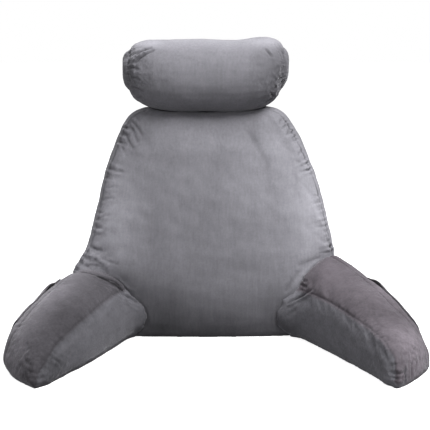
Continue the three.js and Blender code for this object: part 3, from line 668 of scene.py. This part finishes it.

# %% [markdown]
# ## Painted light and shade, and which way the pile lies
# Pile that leans towards the eye looks dark, and pile that leans away looks light, and each panel
# has a direction from its cutting. Most of what these rows make is painted light and shade, though:
# painted highlights on the roll's top and upper ends and on the arms' outer edges and tips, painted
# sheen on the back's sides, and painted shade low in front, under the roll, beside the arms and at
# the arms' inner tips. A row is one such place: where it is, how far it reaches, and how much
# lighter or darker it is. The result is an attribute named "nap", around 1, which holds the painted
# light and shade together with the pile's tone.

# %% Painted light and shade
PAINTED_LIGHT_AND_NAP = {
    # name, x, y, z, reach in x, y and z, change
    "backrest": [
        ("low in front", -35, 50, 10, 230, 90, 70, -0.62),
        ("left of the middle, low", -130, 40, 95, 90, 80, 60, -0.36),
        ("beside the left arm", -195, 50, 120, 50, 60, 45, -0.34),
        ("left side", -228, 80, 250, 72, 70, 120, 0.62),
        ("right side", 210, 85, 265, 70, 70, 140, 0.74),
        ("left shoulder", -135, 95, 385, 70, 60, 50, 0.04),
        ("right shoulder", 125, 90, 400, 50, 60, 50, 0.22),
        ("under the roll", -30, 90, 455, 130, 60, 22, -0.04),
        ("middle", -30, 60, 280, 60, 60, 90, 0.05),
        ("right of the middle", 72, 60, 255, 46, 70, 90, 0.20),
        ("upper right", 95, 80, 350, 60, 70, 60, 0.10),
        ("middle, low", -5, 50, 150, 70, 60, 36, -0.12),
        ("left, at the floor", -118, 42, 25, 42, 60, 45, -0.36),
        ("beside the right arm", 128, 42, 85, 36, 60, 50, -0.24),
    ],
    "neck_roll": [
        ("right end", 135, 110, 560, 42, 80, 70, -0.50),
        ("left end", -182, 110, 560, 22, 60, 48, -0.16),
        ("top", -20, 130, 640, 170, 60, 24, 0.50),
        ("upper left", -150, 125, 626, 34, 40, 12, 0.55),
        ("upper right", 116, 120, 628, 38, 40, 12, 0.45),
        ("bottom", -20, 90, 485, 200, 80, 18, -0.22),
    ],
    "arm_right": [
        ("top, near the root", 240, 0, 170, 60, 60, 40, 0.06),
        ("along the middle", 318, -140, 116, 60, 80, 34, -0.30),
        ("outer edge", 340, -60, 124, 26, 70, 26, 0.50),
        ("tip", 385, -215, 60, 46, 70, 60, 0.74),
        ("outer, beyond the middle", 368, -160, 104, 26, 40, 26, -0.16),
        ("root, low", 148, 20, 35, 40, 44, 48, -0.42),
        ("inner tip", 315, -252, 60, 40, 30, 40, -0.20),
    ],
    "arm_left": [
        ("along the seam", -290, -175, 100, 45, 75, 34, -0.34),
        ("near the root", -250, -40, 140, 40, 50, 40, -0.12),
        ("root, low", -140, 20, 30, 34, 44, 44, -0.34),
        ("outer tip", -372, -225, 40, 40, 50, 50, 0.35),
        ("outer shoulder", -345, -70, 128, 40, 50, 26, 0.35),
        ("far end", -345, -230, 70, 46, 60, 40, -0.22),
        ("inner tip", -312, -236, 25, 50, 44, 40, -0.45),
    ],
}
# Painted shade on the arms, with some of the pile's own tone: shares by which the panels are darker.
ARM_NAP_AND_SHADE = {
    # the inner panel, and the top panel beside its inner and its outer seam
    "arm_right": (0.80, 0.58, 0.54),
    "arm_left": (0.61, 0.40, 0.74),
}
MAUVE = {"arm_right": 1.0, "arm_left": 0.38}


def arm_panels(name, points):
    """For each point, 1 on an arm's inner panel and 0 elsewhere, and the way over its top panel."""
    x = SIDES[name] * (points[:, 0] / MM - ARM_MIDDLE) - ARM_ROOT[0]
    y = points[:, 1] / MM - ARM_ROOT[1]
    s = x * math.sin(ARM_SPLAY) - y * math.cos(ARM_SPLAY)
    t = x * math.cos(ARM_SPLAY) + y * math.sin(ARM_SPLAY)
    rows = np.array(ARM_INNER_SEAMS[name], float)
    seam_t = np.interp(s, rows[:, 0], rows[:, 1])
    seam_z = np.interp(s, rows[:, 0], rows[:, 2])
    below = smooth(seam_z - points[:, 2] / MM, -1, 5)
    return below * (1 - smooth(t - seam_t, 14, 34)), smooth(t, 20, 95)


def paint_light_and_nap(piece, node):
    points = read_points(piece)
    nap = np.ones(len(points))
    mauve = np.zeros(len(points))
    if node in ARM_NAP_AND_SHADE:
        # Painted shade on the arm's inner and top panels.
        inner_nap_and_shade, seam_nap_and_shade, outer_nap_and_shade = ARM_NAP_AND_SHADE[node]
        inner, over = arm_panels(node, points)
        top = seam_nap_and_shade + (outer_nap_and_shade - seam_nap_and_shade) * over
        nap = top + (inner_nap_and_shade - top) * inner
        mauve = MAUVE[node] * (1 - inner)
    # Each row paints a patch of light, or of shade where its change is below 0.
    for name, x, y, z, *reach, change in PAINTED_LIGHT_AND_NAP[node]:
        nap *= 1 + change * near(points, x, y, z, *reach)
    note(piece, "nap", nap)
    note(piece, "mauve", mauve)
    print(piece.name, "has nap from", round(float(nap.min()), 2), "to", round(float(nap.max()), 2))


for node, piece in filled.items():
    paint_light_and_nap(piece, node)

# %% [markdown]
# ## Pockets
# A pocket is a patch of the same velour, sewn to the arm along three edges. Its upper edge is folded
# into a hem, which is thicker and stands a little open. Each row is a place along the arm, with the
# top and the bottom of the patch there, and the patch is laid on the arm's own surface. A mouth is
# how far the hem stands open, in millimetres, and where along the hem, from 0 to 1.

# %% Make the pockets
POCKET_ROWS = {
    # s, t and z of the hem, t and z of the bottom edge
    "pocket_right": [(100, 110, 142, 148, 18), (125, 111, 136, 149, 15), (165, 113, 122, 150, 13),
                     (210, 116, 102, 149, 11), (243, 119, 84, 146, 10)],
    "pocket_left": [(100, 118, 138, 149, 18), (125, 118, 133, 150, 15), (165, 119, 120, 150, 13),
                    (210, 121, 99, 149, 11), (243, 123, 80, 145, 10)],
}
POCKET_ACROSS, POCKET_DOWN = 72, 64
CLOTH_THICK = 1.5
HEM_THICK = 2.4
HEM_DEEP = 0.14
POCKET_MOUTHS = {"pocket_right": (5.0, 0.22), "pocket_left": (6.0, 0.27)}
MOUTH_REACH = 0.10
MOUTH_DEEP = 0.42
POCKET_BELLY = 14
POCKET_ABOVE = 0.5
# Painted shade: the pocket's nap value makes the whole patch darker, for the shade at its hem.
POCKET_PAINTED_SHADE = 0.46


def make_pocket(node):
    arm = node.replace("pocket", "arm")
    side, surface = SIDES[arm], surface_of(filled[arm])
    opened, middle = POCKET_MOUTHS[node]
    rows = np.array(POCKET_ROWS[node], float)
    places = np.linspace(rows[0, 0], rows[-1, 0], POCKET_ACROSS)
    columns = [np.interp(places, rows[:, 0], rows[:, k]) for k in range(1, 5)]
    verts, hemmed = [], []
    for i, (s, hem_t, hem_z, foot_t, foot_z) in enumerate(zip(places, *columns)):
        across = i / (POCKET_ACROSS - 1)
        for j in range(POCKET_DOWN):
            down = j / (POCKET_DOWN - 1)
            t = hem_t + (foot_t - hem_t) * down + POCKET_BELLY * math.sin(math.pi * down)
            z = hem_z + (foot_z - hem_z) * down
            spot, normal, _, _ = surface.find_nearest(Vector(arm_place(side, s, t, z)) * MM)
            mouth = opened * math.exp(-((across - middle) / MOUTH_REACH) ** 2)
            mouth *= max(0.0, 1 - down / MOUTH_DEEP) ** 1.6
            verts.append(spot + normal * (POCKET_ABOVE + mouth) * MM)
            hemmed.append(1.0 if down < HEM_DEEP else CLOTH_THICK / HEM_THICK)
    faces = []
    for i in range(POCKET_ACROSS - 1):
        for j in range(POCKET_DOWN - 1):
            a = i * POCKET_DOWN + j
            face = (a, a + 1, a + POCKET_DOWN + 1, a + POCKET_DOWN)
            faces.append(face if side < 0 else face[::-1])
    mesh = bpy.data.meshes.new(node + "_cloth")
    mesh.from_pydata(verts, [], faces)
    piece = put_in_scene(node + "_cloth", mesh)
    relax = piece.modifiers.new("relax", "SMOOTH")
    relax.factor = 0.5
    relax.iterations = 6
    bake(piece)
    points = read_points(piece)
    grid = points.reshape(POCKET_ACROSS, POCKET_DOWN, 3)
    outside = points + read_normals(piece) * (HEM_THICK * MM * np.array(hemmed))[:, None]
    wide = np.linalg.norm(np.diff(grid, axis=0), axis=2).sum(0).mean()
    deep = np.linalg.norm(np.diff(grid, axis=1), axis=2).sum(1).mean()
    weigh(piece, "hem", hemmed)
    thick = piece.modifiers.new("thick", "SOLIDIFY")
    thick.thickness = HEM_THICK * MM
    thick.offset = 1
    thick.vertex_group = "hem"
    bake(piece)
    piece.vertex_groups.clear()
    shade_smooth(piece)
    # The pocket's nap value is painted shade.
    for name, value in (("crease", 0.0), ("nap", POCKET_PAINTED_SHADE), ("tufted", 0.3), ("mauve", 0.6)):
        note(piece, name, np.full(len(piece.data.vertices), value))
    print(piece.name, "is", round(wide, 3), "by", round(deep, 3), "m when laid flat")
    return piece, (float(wide), float(deep)), outside.reshape(grid.shape)


pockets = {node: make_pocket(node) for node in POCKET_ROWS}

# %% [markdown]
# ## Stitches
# A pocket is held by one row of stitches under its hem and one round its three sewn edges. Stitches
# are all alike and follow a line, so Geometry Nodes make them: the tree takes a path of joined
# points, puts a small bead of thread at even places on it and turns it along the path. Its last
# steps make the beads real geometry and give them their material, so the result is a plain mesh.

# %% A tree that sews along a path
STITCH_SIZES = {"Stitch": 3.2 * MM, "Spacing": 4.6 * MM, "Thread": 1.0 * MM}


def link(tree, source, target):
    tree.links.new(source, target)


def add_sockets(tree, way, kind, *names):
    for name in names:
        tree.interface.new_socket(name, in_out=way, socket_type="NodeSocket" + kind)


def put(node, **values):
    """Sets constant values on a node's sockets; a _ stands for a space in a socket's name."""
    for name, value in values.items():
        node.inputs[name.replace("_", " ")].default_value = value


def sewing_tree():
    tree = bpy.data.node_groups.new("row of stitches", "GeometryNodeTree")
    add_sockets(tree, "INPUT", "Geometry", "Path")
    add_sockets(tree, "INPUT", "Float", *STITCH_SIZES)
    add_sockets(tree, "INPUT", "Material", "Material")
    add_sockets(tree, "OUTPUT", "Geometry", "Stitches")
    given, result, curve, places, bead, size, sewn, real, painted = map(tree.nodes.new, (
        "NodeGroupInput", "NodeGroupOutput", "GeometryNodeMeshToCurve", "GeometryNodeCurveToPoints",
        "GeometryNodeMeshUVSphere", "ShaderNodeCombineXYZ", "GeometryNodeInstanceOnPoints",
        "GeometryNodeRealizeInstances", "GeometryNodeSetMaterial"))
    places.mode = "LENGTH"
    put(bead, Segments=6, Rings=4, Radius=0.5)
    for source, gives, target, takes in (
            (given, "Path", curve, "Mesh"), (curve, "Curve", places, "Curve"),
            (given, "Spacing", places, "Length"), (given, "Thread", size, "X"),
            (given, "Thread", size, "Y"), (given, "Stitch", size, "Z"),
            (places, "Points", sewn, "Points"), (places, "Rotation", sewn, "Rotation"),
            (bead, "Mesh", sewn, "Instance"), (size, "Vector", sewn, "Scale"),
            (sewn, "Instances", real, "Geometry"), (real, "Geometry", painted, "Geometry"),
            (given, "Material", painted, "Material"), (painted, "Geometry", result, "Stitches")):
        link(tree, source.outputs[gives], target.inputs[takes])
    return tree


sewing = sewing_tree()
thread = bpy.data.materials.new("thread")
print("tree", sewing.name, "has", len(sewing.nodes), "nodes")

# %% [markdown]
# The paths are joined points of the pocket's outer face: one line across, just above the hem's lower
# edge, and one line down a side, along the bottom and up the other side.

# %% Sew the pockets
HEM_LINE, EDGE = 7, 2  # rows of the grid from the hem's top, and from the sewn edges


def sew(node):
    _, _, face = pockets[node]
    last_across, last_down = POCKET_ACROSS - 1 - EDGE, POCKET_DOWN - 1 - EDGE
    across, down = range(EDGE, last_across + 1), range(HEM_LINE + 2, last_down + 1)
    hem_line = [face[i, HEM_LINE] for i in across]
    edge_line = ([face[EDGE, j] for j in down] + [face[i, last_down] for i in across]
                 + [face[last_across, j] for j in reversed(down)])
    points = [tuple(map(float, p)) for p in hem_line + edge_line]
    edges = [(i, i + 1) for i in range(len(points) - 1) if i != len(hem_line) - 1]
    mesh = bpy.data.meshes.new(node + "_stitches")
    mesh.from_pydata(points, edges, [])
    piece = put_in_scene(node + "_stitches", mesh)
    sewer = piece.modifiers.new("sewer", "NODES")
    sewer.node_group = sewing
    named = {item.name: item.identifier for item in sewing.interface.items_tree}
    for name, value in STITCH_SIZES.items():
        sewer[named[name]] = value
    sewer[named["Material"]] = thread
    bake(piece)
    print(piece.name, "has", len(piece.data.polygons), "faces")
    return piece


stitches = {node: sew(node) for node in pockets}

# %% [markdown]
# ## Velour
# Velour is a knitted cloth with a short, dense pile. The pile leans, so the cloth looks lighter or
# darker where a hand or a fold has turned it, and its fibres catch light at a grazing angle. The
# first is a pattern of soft patches in the colour, the second is sheen. Every velour here needs the
# patches, so they are a node group that is built once.

# %% The nap's pattern, as a node group
def calculate(tree, kind, *inputs):
    node = tree.nodes.new("ShaderNodeMath")
    node.operation = kind
    for socket, value in zip(node.inputs, inputs):
        if isinstance(value, (int, float)):
            socket.default_value = value
        else:
            link(tree, value, socket)
    return node.outputs[0]


def patches(tree, where, stretch, scale, detail=2.0, rough=0.55):
    """Noise from about -1 to 1, stretched along the axes."""
    turned = tree.nodes.new("ShaderNodeMapping")
    put(turned, Scale=stretch)
    link(tree, where, turned.inputs["Vector"])
    noise = tree.nodes.new("ShaderNodeTexNoise")
    put(noise, Scale=scale, Detail=detail, Roughness=rough)
    link(tree, turned.outputs["Vector"], noise.inputs["Vector"])
    return calculate(tree, "MULTIPLY_ADD", noise.outputs["Fac"], 4.0, -2.0)


def nap_group():
    tree = bpy.data.node_groups.new("velour nap", "ShaderNodeTree")
    add_sockets(tree, "INPUT", "Vector", "Place")
    add_sockets(tree, "INPUT", "Float", "Bands", "Patches", "Streaks", "Tufts", "Pile", "Tufted")
    add_sockets(tree, "OUTPUT", "Float", "Shade", "Height")
    given = tree.nodes.new("NodeGroupInput")
    result = tree.nodes.new("NodeGroupOutput")
    where = given.outputs["Place"]
    bands = patches(tree, where, (1, 1, 0.22), 17)
    brushed = patches(tree, where, (1, 1, 1.6), 38, 3.0)
    streaks = patches(tree, where, (1, 1, 0.07), 210, 1.0)
    tufts = patches(tree, where, (1, 1, 1), 230, 3.0, 0.6)
    pile = patches(tree, where, (1, 1, 1), 1500, 2.0, 0.7)
    loose = patches(tree, where, (1, 1, 1), 120, 4.0, 0.7)
    loose = calculate(tree, "MULTIPLY", loose, given.outputs["Tufted"])
    shade = calculate(tree, "MULTIPLY_ADD", bands, given.outputs["Bands"], loose)
    for value, name in ((brushed, "Patches"), (streaks, "Streaks"), (tufts, "Tufts"), (pile, "Pile")):
        shade = calculate(tree, "MULTIPLY_ADD", value, given.outputs[name], shade)
    link(tree, shade, result.inputs["Shade"])
    height = calculate(tree, "MULTIPLY_ADD", tufts, 0.45, pile)
    link(tree, height, result.inputs["Height"])
    return tree


velour_nap = nap_group()
print("group", velour_nap.name, "has", len(velour_nap.nodes), "nodes")

# %% [markdown]
# The material places the group, turns its pattern into a colour, scales it by the painted light and
# shade in "nap", and darkens it by the painted shade that the piece keeps. Sheen stays on the shader
# itself.

# %% Velour materials
MAUVE_COLOUR = (0.253, 0.224, 0.254)
TUFT_SHADE = 0.30
CREASE_SHADE = 0.78
SHEEN = 0.42
SHADE_PAINTED_SHEEN = 0.04
PILE_BUMP = (0.35, 0.6)


def shader_of(material):
    material.use_nodes = True
    return material.node_tree, material.node_tree.nodes["Principled BSDF"]


def noted(tree, name):
    """The value that a piece keeps under this name."""
    node = tree.nodes.new("ShaderNodeAttribute")
    node.attribute_name = name
    return node.outputs["Fac"]


def mix(tree, first, second, share):
    """A colour between two others, by a changing share from 0 to 1."""
    node = tree.nodes.new("ShaderNodeMix")
    node.data_type = "RGBA"
    put(node, A=(*first, 1), B=(*second, 1))
    link(tree, share, node.inputs["Factor"])
    return node.outputs["Result"]


def tint(tree, shader, colour, tone):
    """Feeds a colour, plain or from a socket, times a changing tone to the shader."""
    scaled = tree.nodes.new("ShaderNodeVectorMath")
    scaled.operation = "SCALE"
    if isinstance(colour, tuple):
        scaled.inputs[0].default_value = colour
    else:
        link(tree, colour, scaled.inputs[0])
    link(tree, tone, scaled.inputs["Scale"])
    link(tree, scaled.outputs[0], shader.inputs["Base Color"])


def roughen(tree, shader, height, strength, distance):
    """Turns a changing height into small bumps on the shader; distance is in millimetres."""
    bump = tree.nodes.new("ShaderNodeBump")
    put(bump, Strength=strength, Distance=distance * MM)
    link(tree, height, bump.inputs["Height"])
    link(tree, bump.outputs["Normal"], shader.inputs["Normal"])


def velour(name, colour, sheen, **amounts):
    material = bpy.data.materials.new(name)
    tree, shader = shader_of(material)
    place = tree.nodes.new("ShaderNodeTexCoord")
    nap = tree.nodes.new("ShaderNodeGroup")
    nap.node_tree = velour_nap
    link(tree, place.outputs["Object"], nap.inputs["Place"])
    put(nap, **amounts)
    link(tree, calculate(tree, "MULTIPLY", noted(tree, "tufted"), TUFT_SHADE), nap.inputs["Tufted"])
    # The attribute "nap" holds painted light and shade together with the pile's tone.
    lay = noted(tree, "nap")
    lit = calculate(tree, "MULTIPLY_ADD", nap.outputs["Shade"], lay, lay)
    # The piece's painted shade darkens the colour.
    dim = calculate(tree, "MULTIPLY_ADD", noted(tree, "crease"), -CREASE_SHADE, 1.0)
    value = calculate(tree, "MULTIPLY", lit, dim)
    tint(tree, shader, mix(tree, colour, MAUVE_COLOUR, noted(tree, "mauve")), value)
    roughen(tree, shader, nap.outputs["Height"], *PILE_BUMP)
    put(shader, Roughness=0.86, Specular_IOR_Level=0.15, Sheen_Weight=sheen, Sheen_Roughness=0.30,
        Sheen_Tint=(0.92, 0.91, 0.96, 1))
    return material


POCKET_COLOUR = (0.233, 0.226, 0.250)
pocket_cover = velour("pocket velour", POCKET_COLOUR, SHEEN,
                      Bands=0.04, Patches=0.08, Streaks=0.02, Tufts=0.10, Pile=0.14)
for piece, _, _ in pockets.values():
    piece.data.materials.append(pocket_cover)

# %% [markdown]
# Sheen comes from pile that stands up, and it lightens even a nearly black colour at a grazing angle.
# The faces with the deepest painted shade therefore take a shaded copy of the velour, which is the
# same except for its weak sheen.

# %% Velour and its shaded copy
DEEP_SHADE = 0.55
COVERS = {
    # colour, and how strong each part of the pattern is
    "velour": ((0.233, 0.229, 0.253), {"Bands": 0.10, "Patches": 0.045, "Streaks": 0.06,
                                       "Tufts": 0.07, "Pile": 0.16}),
    "arm velour": ((0.233, 0.229, 0.255), {"Bands": 0.04, "Patches": 0.15, "Streaks": 0.03,
                                           "Tufts": 0.15, "Pile": 0.2}),
}
covers = {name: (velour(name, colour, SHEEN, **amounts),
                 velour("pressed " + name, colour, SHADE_PAINTED_SHEEN, **amounts))
          for name, (colour, amounts) in COVERS.items()}


def dress(piece, materials):
    piece.data.materials.clear()
    for material in materials:
        piece.data.materials.append(material)
    # Faces whose painted shade is deepest take the shaded copy.
    depth = read(piece.data.attributes["crease"].data, "value", kind=np.float32)
    corners = read(piece.data.loops, "vertex_index", kind=np.int32)
    shade_painted = depth[corners].reshape(-1, 4).mean(1) > DEEP_SHADE
    piece.data.polygons.foreach_set("material_index", shade_painted.astype(np.int32))
    print(piece.name, "has", int(shade_painted.sum()), "faces of pressed pile")


for node, piece in filled.items():
    dress(piece, covers["arm velour" if node in ARM_NAP_AND_SHADE else "velour"])

# %% [markdown]
# Sewing thread is smooth and twisted, and shines a little more than the pile. A fine noise stands in
# for its twist, since a stitch is only three millimetres long.

# %% Thread
THREAD_COLOUR = (0.115, 0.108, 0.125)
THREAD_BUMP = (0.3, 0.2)
tree, shader = shader_of(thread)
place = tree.nodes.new("ShaderNodeTexCoord").outputs["Object"]
twist = patches(tree, place, (1, 1, 1), 900)
tone = calculate(tree, "MULTIPLY_ADD", twist, 0.15, 1.0)
tint(tree, shader, THREAD_COLOUR, tone)
roughen(tree, shader, twist, *THREAD_BUMP)
put(shader, Roughness=0.55, Specular_IOR_Level=0.3)
print("thread has", len(tree.nodes), "nodes")

# %% [markdown]
# ## Studio
# The floor is pale and wide. Seen directly it is nearly white, but it throws little light back up,
# so the undersides of the cloth stay dark, as they are on a bed.

# %% Floor
FLOOR_RADIUS = 14.0
FLOOR_CORNERS = 96
FLOOR_GLOW = 0.85
FLOOR_DARK, FLOOR_PALE = (0.22, 0.22, 0.22), (0.9, 0.9, 0.9)
WHITE = (1, 1, 1, 1)


def make_floor():
    verts = [(FLOOR_RADIUS * math.cos(a), FLOOR_RADIUS * math.sin(a), 0)
             for a in np.linspace(0, 2 * math.pi, FLOOR_CORNERS, endpoint=False)]
    mesh = bpy.data.meshes.new("floor")
    mesh.from_pydata(verts, [], [tuple(range(FLOOR_CORNERS))])
    paint = bpy.data.materials.new("floor paint")
    tree, shader = shader_of(paint)
    seen = tree.nodes.new("ShaderNodeLightPath").outputs["Is Camera Ray"]
    link(tree, mix(tree, FLOOR_DARK, FLOOR_PALE, seen), shader.inputs["Base Color"])
    put(shader, Roughness=0.9, Specular_IOR_Level=0.0, Emission_Color=WHITE)
    link(tree, calculate(tree, "MULTIPLY", seen, FLOOR_GLOW), shader.inputs["Emission Strength"])
    mesh.materials.append(paint)
    return put_in_scene("floor", mesh)


floor = make_floor()
print("floor of", FLOOR_RADIUS, "m round the pillow")

# %% [markdown]
# A large lamp stands high above and to the right of the front, and gives the soft shadows. Weaker
# ones in front and behind and the even light of the surroundings keep the other sides from going
# black.

# %% Lamps and surroundings
AIM = Vector((-0.001, 0.082, 0.262))
LAMPS = {
    # way from the pillow, how far away and how wide in metres, watts
    "key lamp": ((0.62, -0.50, 1.25), 2.4, 1.3, 74),
    "front lamp": ((-0.25, -1.0, 0.35), 3.0, 1.6, 14),
    "rear lamp": ((-0.5, 1.0, 0.75), 3.0, 1.8, 26),
}
SKY_LIGHT, SKY_SEEN = 0.25, 0.75


def soft_lamp(name, way, away, size, watts):
    """A round lamp in a direction from the pillow, turned towards it."""
    data = bpy.data.lights.new(name, "AREA")
    data.shape = "DISK"
    data.size = size
    data.energy = watts
    lamp = put_in_scene(name, data)
    lamp.location = AIM + Vector(way).normalized() * away
    lamp.rotation_euler = Vector(way).to_track_quat("Z", "Y").to_euler()


for name, row in LAMPS.items():
    soft_lamp(name, *row)
world = bpy.data.worlds.new("studio")
world.use_nodes = True
sky = world.node_tree
background = sky.nodes["Background"]
put(background, Color=WHITE)
seen = sky.nodes.new("ShaderNodeLightPath").outputs["Is Camera Ray"]
link(sky, calculate(sky, "MULTIPLY_ADD", seen, SKY_SEEN, SKY_LIGHT), background.inputs["Strength"])
scene.world = world
scene.view_settings.view_transform = "Standard"
print("lamps:", sorted(LAMPS))

# %% [markdown]
# The camera stands in front, a little above, and far enough away for a weak perspective.

# %% Camera
CAMERA_TURN = math.radians(-0.6)
CAMERA_RISE = math.radians(11)
CAMERA_AWAY = 2.19
CAMERA_LENS, CAMERA_SENSOR = 84.7, 36
back = Vector((math.sin(CAMERA_TURN) * math.cos(CAMERA_RISE),
               -math.cos(CAMERA_TURN) * math.cos(CAMERA_RISE), math.sin(CAMERA_RISE)))
camera_data = bpy.data.cameras.new("camera")
camera_data.lens = CAMERA_LENS
camera_data.sensor_width = CAMERA_SENSOR
camera = put_in_scene("camera", camera_data)
camera.location = AIM + back * CAMERA_AWAY
camera.rotation_euler = (-back).to_track_quat("-Z", "Y").to_euler()
scene.camera = camera
print("camera at", [round(v, 2) for v in camera.location])

# %% [markdown]
# ## Attach the pieces
# Each piece and each pocket's stitches are attached to the root body, and the solid that the piece
# stands for is hidden.

for node, piece in filled.items():
    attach(piece, "root")
    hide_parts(node)
for node, (piece, flat, _) in pockets.items():
    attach(piece, "root")
    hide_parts(node)
    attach(stitches[node], "root")
